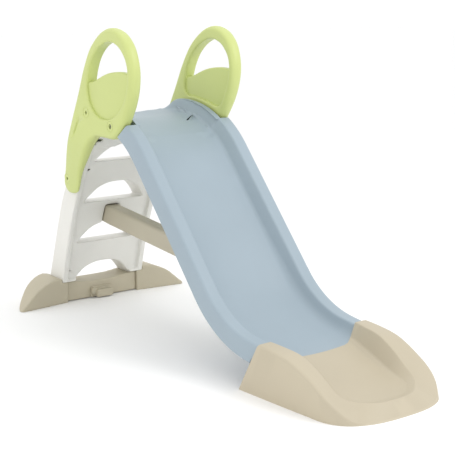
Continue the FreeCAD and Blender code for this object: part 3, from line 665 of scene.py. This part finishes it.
    def build(self) -> bpy.types.Object:
        """Sweeps the section along the rim line and gives the sheet its wall.

        Returns:
            The chute.
        """
        bm = bmesh.new()
        row = first_row(bm, self.row(0.0, True, 4.0))
        row = extrude_row(bm, row, self.row(1.2, True, 1.2))
        stop = self.lobe_run()
        count = round(stop / self.row_pitch)
        for i in range(count + 1):
            row = extrude_row(bm, row, self.row(4.0 + (stop - 4.0) * i / count, True))
        row = extrude_row(bm, row, self.row(stop, False))
        rest = self.line_length() - stop
        count = round(rest / self.row_pitch)
        for i in range(1, count + 1):
            row = extrude_row(bm, row, self.row(stop + rest * i / count, False))
        bmesh.ops.remove_doubles(bm, verts=bm.verts, dist=0.00005)
        bmesh.ops.recalc_face_normals(bm, faces=bm.faces)
        middle = min(bm.faces, key=lambda f: (f.calc_center_median() - at(420, 0, 700)).length)
        if middle.normal.z < 0:
            bmesh.ops.reverse_faces(bm, faces=bm.faces)
        piece = finished(bm, "chute_shell")
        thicken(piece, self.wall * MM, 1.0 * MM)
        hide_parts("chute")
        dress(piece, CHUTE_BLUE, Body.SLIDE)
        return piece


# ---------------------------------------------------------------- the landing


@dataclass
class Landing:
    """The sand-coloured foot of the slide, a shell with a shallow trough. Sizes are millimetres."""

    wall: float = 4.0
    half: float = 228.0
    taper: float = 14.0
    back: float = 1214.0
    hub: float = 1436.0
    front: float = 1592.0
    squareness: float = 2.7
    side_rows: int = 20
    nose_rows: int = 30
    arc_steps: int = 4
    floor_steps: int = 9

    crest: tuple[tuple[float, float], ...] = ((1160, 150), (1213, 149), (1272, 145), (1336, 137), (1373, 127),
                                              (1444, 96), (1496, 62), (1530, 34), (1550, 14), (1562, 6),
                                              (1592, 4))
    lip: tuple[tuple[float, float], ...] = ((1160, 151), (1213, 150), (1272, 146), (1336, 137), (1400, 106),
                                            (1450, 71), (1500, 47), (1540, 42), (1560, 41))
    floor: tuple[tuple[float, float], ...] = ((1190, 97), (1233, 90), (1290, 77), (1340, 64), (1400, 48),
                                              (1450, 38), (1500, 33), (1560, 31))
    rear: tuple[tuple[float, float], ...] = ((0, 1142), (34, 1148), (66, 1162), (92, 1181), (151, 1214))

    def stations(self) -> list[tuple[Vector, Vector, float]]:
        """Places along the left half of the plan outline, from the rear to the middle of the nose.

        Returns:
            (outline point, point that its section runs towards, nought up to the nose's corner and
            one at its middle) of each.
        """
        places = []
        for i in range(self.side_rows):
            x = self.back + (self.hub - self.back) * i / self.side_rows
            half = self.half - self.taper * i / self.side_rows
            places.append((Vector((x, half)), Vector((x, 0)), 0.0))
        for i in range(self.nose_rows + 1):
            turn = math.pi / 2 * (1 - i / self.nose_rows)
            reach = self.front - self.hub
            power = 2 / self.squareness
            x = self.hub + reach * math.cos(turn) ** power
            y = (self.half - self.taper) * max(math.sin(turn), 0.0) ** power
            places.append((Vector((x, y)), Vector((self.hub, 0)), ease((i / self.nose_rows - 0.4) / 0.6)))
        return places

    def floor_height(self, x: float, y: float) -> float:
        """Height of the trough's floor, which is crowned downwards across."""
        return along_curve(self.floor, x) + 9 * (y / 136) ** 2 * clamp((1600 - x) / 250)

    def row(self, outline: Vector, target: Vector, nose: float) -> list[Vector]:
        """One section, from the floor on the ground outside to the middle of the trough.

        Args:
            outline: its outer point in plan.
            target: the point in plan that it runs towards.
            nose: nought on the side, one at the front.

        Returns:
            Its places in metres.
        """
        span = (target - outline).length
        inwards = (target - outline) / span

        def plan(distance: float) -> Vector:
            return outline + inwards * distance

        fade = clamp(1 - (outline.x - self.back) / (self.hub - self.back)) ** 2
        edge = 5 + 10 * fade + nose
        rim = 70 - 6 * fade - 34 * nose
        foot = rim + 24 - 4 * fade - 2 * nose
        crest = along_curve(self.crest, plan(edge).x)
        lip = along_curve(self.lip, plan(rim).x)
        base = plan(foot)
        low = self.floor_height(base.x, base.y)
        corners = [(0, 0, 0), (edge, crest, min(10, crest / 2)), (rim, lip, 7), (foot, low + 2, 16),
                   (foot + 12, low, 0)]
        shape = round_corners(corners, self.arc_steps)
        places = []
        for distance, height in shape[:-1]:
            spot = plan(distance)
            shift = along_curve(self.rear, height) - self.back
            if distance > rim:
                shift = seam_bow(spot.y) - 0.12 * (150 - height) - 1
            places.append(at(spot.x + shift * fade, spot.y, height))
        for i in range(self.floor_steps + 1):
            spot = plan(foot + 12 + (span - foot - 12) * i / self.floor_steps)
            x = spot.x + (seam_bow(spot.y) - 7) * fade
            places.append(at(x, spot.y, self.floor_height(x, spot.y)))
        return places

    def build(self) -> bpy.types.Object:
        """Sweeps the section round the left half, mirrors it and gives the sheet its wall.

        Returns:
            The landing.
        """
        bm = bmesh.new()
        rows = [self.row(*station) for station in self.stations()]
        row = first_row(bm, rows[0])
        for places in rows[1:]:
            row = extrude_row(bm, row, places)
        bmesh.ops.mirror(bm, geom=bm.verts[:] + bm.edges[:] + bm.faces[:], axis="Y", merge_dist=0.00005)
        bmesh.ops.remove_doubles(bm, verts=bm.verts, dist=0.00005)
        bmesh.ops.recalc_face_normals(bm, faces=bm.faces)
        middle = min(bm.faces, key=lambda f: (f.calc_center_median() - at(1380, 60, 50)).length)
        if middle.normal.z < 0:
            bmesh.ops.reverse_faces(bm, faces=bm.faces)
        piece = finished(bm, "landing_shell")
        thicken(piece, self.wall * MM, 1.2 * MM)
        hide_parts("landing")
        dress(piece, LANDING_SAND, Body.SLIDE)
        return piece


# ---------------------------------------------------------------- the handles


@dataclass
class Handle:
    """A green handle: a round loop over a dished disc, a body over the pivot and a leg. Millimetres."""

    side: Side
    inner: float = 175.5
    thickness: float = 43.5
    splay: float = 8.0
    leg_thickness: float = 15.0
    steps: int = 6
    edge_across: float = 14.5
    edge_deep: float = 19.0
    dish_edge: float = 7.0
    disc_half: float = 13.0
    edge_rings: int = 6

    outline: tuple[tuple[float, float], ...] = (
        (158, 462), (183, 515), (235, 578), (283, 630), (327, 656), (384, 660), (441, 660), (488, 687),
        (522, 730), (552, 778), (573, 832), (579, 890), (566, 945), (540, 985), (497, 1013), (441, 1022),
        (383, 1003), (321, 956), (273, 888), (228, 802), (180, 716), (128, 612), (76, 508), (61, 468),
        (77, 443), (110, 435), (144, 442))
    hand_hole: tuple[tuple[float, float], ...] = (
        (293, 822), (299, 852), (315, 890), (342, 928), (388, 962), (446, 979), (502, 964), (539, 930),
        (553, 895), (551, 865), (546, 838), (535, 808))
    outer_dish: tuple[tuple[float, float], ...] = ((509, 772), (463, 738), (405, 723), (348, 733), (307, 770))
    inner_dish: tuple[tuple[float, float], ...] = (
        (522, 776), (503, 755), (478, 752), (440, 761), (400, 769), (350, 776), (312, 779), (295, 797))
    disc: tuple[tuple[float, float], ...] = (
        (284, 838), (326, 845), (360, 857), (398, 870), (440, 879), (490, 883), (530, 880), (561, 872),
        (564, 852), (548, 805), (515, 762), (466, 727), (405, 711), (343, 722), (296, 764), (279, 812))
    spear: tuple[tuple[float, float], ...] = ((236, 722), (223, 712), (205, 684), (192, 658), (187, 643),
                                              (196, 652), (216, 679), (231, 703))
    screws: tuple[tuple[float, float, float, float], ...] = (
        (283, 737, 6.5, 8.0), (437, 703, 8.5, 9.0), (91, 486, 6.5, 13.0))
    ring_radius: float = 18.5
    ring_width: float = 1.8
    ring_depth: float = 0.9
    spear_depth: float = 5.0
    spear_share: float = 0.45
    leg_foot: float = 448.0
    leg_rise: float = 205.0
    ridge_foot: tuple[float, float] = (100.0, 440.0)
    ridge_slope: float = 0.40
    ridge_half: float = 34.0
    ridge_lift: float = 0.05
    ridge_top: float = 720.0
    splay_start: float = 700.0
    splay_rise: float = 320.0

    def rings(self, loop: list[Vector], across: float, deep: float,
              top: float) -> list[tuple[list[Vector], float]]:
        """The rings that carry a loop from the mid-plane over a rounded edge to the face.

        Args:
            loop: the loop, whose material lies to its inside if across is positive.
            across: width of the rounding in the plane.
            deep: depth of the rounding.
            top: height of the face over the mid-plane.

        Returns:
            (ring, height over the mid-plane) of each.
        """
        made = [(loop, 0.0)]
        for k in range(self.edge_rings + 1):
            turn = math.pi / 2 * k / self.edge_rings
            made.append((moved_in(loop, across * (1 - math.cos(turn))) if k else loop,
                         top - deep + deep * math.sin(turn)))
        return made

    def half(self, bm: bmesh.types.BMesh, outward: bool) -> None:
        """Builds one half of the shell, from the mid-plane to a face.

        Args:
            bm: the mesh, drawn in (x, height over the mid-plane, z).
            outward: whether it is the half away from the slide.
        """
        sign = 1 if outward else -1
        top = self.thickness / 2
        dish = self.hand_hole + (self.outer_dish if outward else self.inner_dish)
        rims = []
        for points, across, deep in ((self.outline, self.edge_across, self.edge_deep),
                                     (dish, -self.dish_edge, self.dish_edge)):
            rings = self.rings(smooth_loop(points, self.steps), across, deep, top)
            row = first_row(bm, [Vector((p.x, 0, p.y)) for p in rings[0][0]], True)
            for ring, height in rings[1:]:
                row = extrude_row(bm, row, [Vector((p.x, sign * height, p.y)) for p in ring], True)
            rims += row_edges(bm, row, True)
        sunk = []
        if outward:
            for x, z, radius, depth in self.screws:
                ring = circle_loop((x, z), self.ring_radius, 36)
                groove = circle_loop((x, z), self.ring_radius - self.ring_width, 36)
                hole = circle_loop((x, z), radius, 24)
                sunk += [(ring, 0.0), (groove, 0.0), (hole, depth)]
            sunk.append((smooth_loop(self.spear, 5), 0.0))
        self.face(bm, rims, sunk, sign * top)

    def face(self, bm: bmesh.types.BMesh, rims: list[bmesh.types.BMEdge],
             sunk: list[tuple[list[Vector], float]], top: float) -> None:
        """Fills a face between its rims and sinks its screw holes, their rings and the spear groove.

        Args:
            bm: the mesh.
            rims: the edges of the face's rims.
            sunk: (loop, depth) of each loop in the face.
            top: signed height of the face over the mid-plane.
        """
        rows = [first_row(bm, [Vector((p.x, top, p.y)) for p in loop], True) for loop, _ in sunk]
        fills = [rims]
        for i, row in enumerate(rows):
            kind = i % 3 if i < 3 * len(self.screws) else 3
            edges = row_edges(bm, row, True)
            if kind in (0, 3):
                fills[0] = fills[0] + edges
            if kind in (0, 1):
                fills.append(edges + row_edges(bm, rows[i + 1], True))
        for i, edges in enumerate(fills):
            made = bmesh.ops.triangle_fill(bm, use_beauty=True, use_dissolve=False, edges=edges)["geom"]
            faces = [f for f in made if isinstance(f, bmesh.types.BMFace)]
            if i % 2 == 1:
                lowered = bmesh.ops.extrude_face_region(bm, geom=faces)["geom"]
                bmesh.ops.delete(bm, geom=faces, context="FACES_ONLY")
                for vert in (v for v in lowered if isinstance(v, bmesh.types.BMVert)):
                    vert.co.y -= self.ring_depth
        for (_, depth), row in zip(sunk, rows):
            if depth:
                low = extrude_row(bm, row, [v.co - Vector((0, depth, 0)) for v in row], True)
                bmesh.ops.contextual_create(bm, geom=row_edges(bm, low, True))
        if sunk:
            row = rows[-1]
            middle = sum((v.co for v in row), Vector()) / len(row)
            places = [middle.lerp(v.co, self.spear_share) - Vector((0, self.spear_depth, 0)) for v in row]
            low = extrude_row(bm, row, places, True)
            bmesh.ops.contextual_create(bm, geom=row_edges(bm, low, True))

    def plate(self, bm: bmesh.types.BMesh) -> None:
        """Adds the sunk disc across the loop, rounded along its top."""
        loop = smooth_loop(self.disc, self.steps)
        for sign in (1, -1):
            rings = self.rings(loop, 6.0, 6.5, self.disc_half)
            row = first_row(bm, [Vector((p.x, 0, p.y)) for p in rings[0][0]], True)
            for ring, height in rings[1:]:
                row = extrude_row(bm, row, [Vector((p.x, sign * height, p.y)) for p in ring], True)
            bmesh.ops.triangle_fill(bm, use_beauty=True, use_dissolve=False, edges=row_edges(bm, row, True))

    def placed(self, spot: Vector) -> Vector:
        """Where a point drawn over the mid-plane belongs: thinned down the leg and splayed at the top."""
        share = (spot.y + self.thickness / 2) / self.thickness
        thick = ease((spot.z - self.leg_foot) / self.leg_rise)
        wide = self.leg_thickness + (self.thickness - self.leg_thickness) * thick
        crown = 0.0
        if spot.z < self.ridge_top:
            ridge = self.ridge_foot[0] + (spot.z - self.ridge_foot[1]) * self.ridge_slope
            near = max(0, self.ridge_half - abs(spot.x - ridge))
            crown = self.ridge_lift * near * ease((self.ridge_top - spot.z) / 60) * share
        lean = self.splay * clamp((spot.z - self.splay_start) / self.splay_rise) ** 1.2
        return at(spot.x, self.side.value * (self.inner + share * wide + crown + lean), spot.z)

    def build(self) -> bpy.types.Object:
        """Builds both halves and the disc, shapes the leg and dresses the handle.

        Returns:
            The handle.
        """
        shell, plate = bmesh.new(), bmesh.new()
        self.half(shell, True)
        self.half(shell, False)
        self.plate(plate)
        whole = bmesh.new()
        for part in (shell, plate):
            bmesh.ops.remove_doubles(part, verts=part.verts, dist=0.01)
            bmesh.ops.recalc_face_normals(part, faces=part.faces)
            mesh = bpy.data.meshes.new("part")
            part.to_mesh(mesh)
            part.free()
            whole.from_mesh(mesh)
            bpy.data.meshes.remove(mesh)
        for height in range(440, 700, 15):
            bmesh.ops.bisect_plane(whole, geom=whole.verts[:] + whole.edges[:] + whole.faces[:],
                                   plane_co=(0, 0, height), plane_no=(0, 0, 1))
        ridge = Vector((self.ridge_slope, 0, 1)).cross(Vector((0, 1, 0)))
        low = [f for f in whole.faces if f.calc_center_median().z < 640]
        near = {v for f in low for v in f.verts} | {e for f in low for e in f.edges}
        bmesh.ops.bisect_plane(whole, geom=list(near) + low,
                               plane_co=(self.ridge_foot[0], 0, self.ridge_foot[1]), plane_no=ridge)
        for vert in whole.verts:
            vert.co = self.placed(vert.co)
        if self.side is Side.RIGHT:
            bmesh.ops.reverse_faces(whole, faces=whole.faces)
        name = self.side.name.lower()
        piece = finished(whole, f"{name}_handle")
        keen = piece.modifiers.new("keen", "EDGE_SPLIT")
        keen.split_angle = math.radians(48)
        keen.use_edge_sharp = False
        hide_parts(f"handle_{name}")
        dress(piece, HANDLE_GREEN, Body.LADDER)
        return piece


# ---------------------------------------------------------------- blow-moulded pieces


@dataclass
class Moulding:
    """A blow-moulded piece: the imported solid's outer skin with its edges softened."""

    node: str
    name: str
    finish: Plastic
    slot: str
    body: Body
    cell: float = 3.0
    softening: int = 6

    def skin(self) -> bmesh.types.BMesh:
        """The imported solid's outer skin, without the sealed spaces inside it.

        Returns:
            The skin as a bmesh.
        """
        bm = bmesh.new()
        bm.from_mesh(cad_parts[self.node].data)
        bmesh.ops.remove_doubles(bm, verts=bm.verts, dist=0.000002)
        waiting = set(bm.verts)
        shells = []
        while waiting:
            shell = {waiting.pop()}
            edge = list(shell)
            while edge:
                near = {e.other_vert(v) for v in edge for e in v.link_edges} & waiting
                waiting -= near
                shell |= near
                edge = list(near)
            shells.append(shell)
        outer = max(shells, key=lambda s: max(v.co.z for v in s) - min(v.co.z for v in s)
                    + max(v.co.y for v in s) - min(v.co.y for v in s))
        bmesh.ops.delete(bm, geom=[v for v in bm.verts if v not in outer], context="VERTS")
        return bm

    def build(self) -> bpy.types.Object:
        """Remeshes the skin evenly, softens its edges and dresses it.

        Returns:
            The piece.
        """
        piece = finished(self.skin(), self.name)
        remesh = piece.modifiers.new("even", "REMESH")
        remesh.mode = "VOXEL"
        remesh.voxel_size = self.cell * MM
        remesh.use_smooth_shade = True
        smooth = piece.modifiers.new("soften", "SMOOTH")
        smooth.factor = 0.5
        smooth.iterations = self.softening
        settle(piece)
        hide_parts(self.node)
        dress(piece, self.finish, self.body)
        return piece


# ---------------------------------------------------------------- the studio


@dataclass
class Studio:
    """The plain floor, the soft lights and the camera."""

    eye: Vector
    azimuth: float = 53.146
    elevation: float = 11.294
    roll: float = 0.19
    lens: float = 89.61
    shift: tuple[float, float] = (0.0011, -0.0076)

    def camera(self) -> None:
        """Sets the camera at the picture's viewing angle."""
        data = bpy.data.cameras.new("camera")
        data.lens = self.lens
        data.sensor_width = 36.0
        data.shift_x, data.shift_y = self.shift
        camera = bpy.data.objects.new("camera", data)
        bpy.context.scene.collection.objects.link(camera)
        camera.location = self.eye
        turn, dip = math.radians(self.azimuth), math.radians(self.elevation)
        aim = Vector((-math.sin(turn) * math.cos(dip), math.cos(turn) * math.cos(dip), -math.sin(dip)))
        facing = aim.to_track_quat("-Z", "Y").to_euler()
        camera.rotation_euler = Euler((facing.x, facing.y + math.radians(self.roll), facing.z))
        bpy.context.scene.camera = camera

    def lamp(self, name: str, place: Sequence[float], aim: Sequence[float], size: float,
             power: float) -> None:
        """Adds one square soft light."""
        data = bpy.data.lights.new(name, "AREA")
        data.size = size
        data.energy = power
        light = bpy.data.objects.new(name, data)
        light.location = place
        light.rotation_euler = (Vector(aim) - Vector(place)).to_track_quat("-Z", "Y").to_euler()
        bpy.context.scene.collection.objects.link(light)

    def build(self) -> None:
        """Makes the floor, the lights and the camera."""
        bm = bmesh.new()
        bmesh.ops.create_grid(bm, x_segments=1, y_segments=1, size=30.0)
        floor = finished(bm, "studio_floor")
        material = bpy.data.materials.new("studio_floor_paper")
        material.use_nodes = True
        shader = material.node_tree.nodes["Principled BSDF"]
        shader.inputs["Base Color"].default_value = (0.93, 0.93, 0.93, 1.0)
        shader.inputs["Roughness"].default_value = 0.9
        floor.data.materials.append(material)
        world = bpy.data.worlds.new("studio")
        world.use_nodes = True
        world.node_tree.nodes["Background"].inputs["Color"].default_value = (1.0, 1.0, 1.0, 1.0)
        world.node_tree.nodes["Background"].inputs["Strength"].default_value = 1.08
        bpy.context.scene.world = world
        self.lamp("key", (2.2, 1.2, 2.6), (0.0, 0.0, 0.4), 1.4, 26.0)
        self.lamp("fill", (0.6, -3.4, 1.6), (0.0, 0.0, 0.4), 2.4, 10.0)
        self.lamp("top", (-0.6, 0.2, 3.2), (0.0, 0.0, 0.4), 2.0, 7.0)
        bpy.context.scene.view_settings.view_transform = "Standard"
        self.camera()


# ---------------------------------------------------------------- the whole slide


def dress_hidden_pieces() -> None:
    """Gives the pins, screws and inserts that stay as packed their finishes."""
    finishes = {"pivot_insert_left": INSERT_NYLON, "pivot_insert_right": INSERT_NYLON}
    steel = ("landing_screws", "pivot_bolt_left", "pivot_bolt_right", "brace_catch_pin", "handle_screws",
             "leg_screws", "base_screws", "brace_hinge_pin")
    finishes.update({name: SCREW_STEEL for name in steel})
    for name, finish in finishes.items():
        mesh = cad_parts[name].data
        mesh.materials.clear()
        mesh.materials.append(finish.material())


def main() -> None:
    """Builds the slide piece by piece, then the studio."""
    logging.basicConfig(level=logging.INFO, format="%(message)s")
    Studio(eye=Vector((2.898, -2.132, 1.116))).build()
    makers: list[Chute | Landing | Handle | Moulding] = [
        Chute(),
        Landing(),
        Moulding("ladder", "ladder_moulding", LADDER_WHITE, "ladder_white", Body.LADDER, 4.0, 6),
        Handle(Side.RIGHT),
        Handle(Side.LEFT),
        Moulding("foot_right", "right_foot", BASE_TAUPE, "base_taupe", Body.LADDER, 3.0, 5),
        Moulding("foot_left", "left_foot", BASE_TAUPE, "base_taupe", Body.LADDER, 3.0, 5),
        Moulding("foot_crossbar", "crossbar", BASE_TAUPE, "base_taupe", Body.LADDER, 3.0, 4),
        Moulding("hose_clip", "crossbar_clip", BASE_TAUPE, "base_taupe", Body.LADDER, 1.0, 4),
        Moulding("brace", "brace_bar", BRACE_TAUPE, "brace_taupe", Body.BRACE, 2.5, 4),
    ]
    for maker in makers:
        piece = maker.build()
        log.info("%s: %d faces", piece.name, len(piece.data.polygons))
    dress_hidden_pieces()
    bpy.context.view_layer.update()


if __name__ == "__main__":
    main()
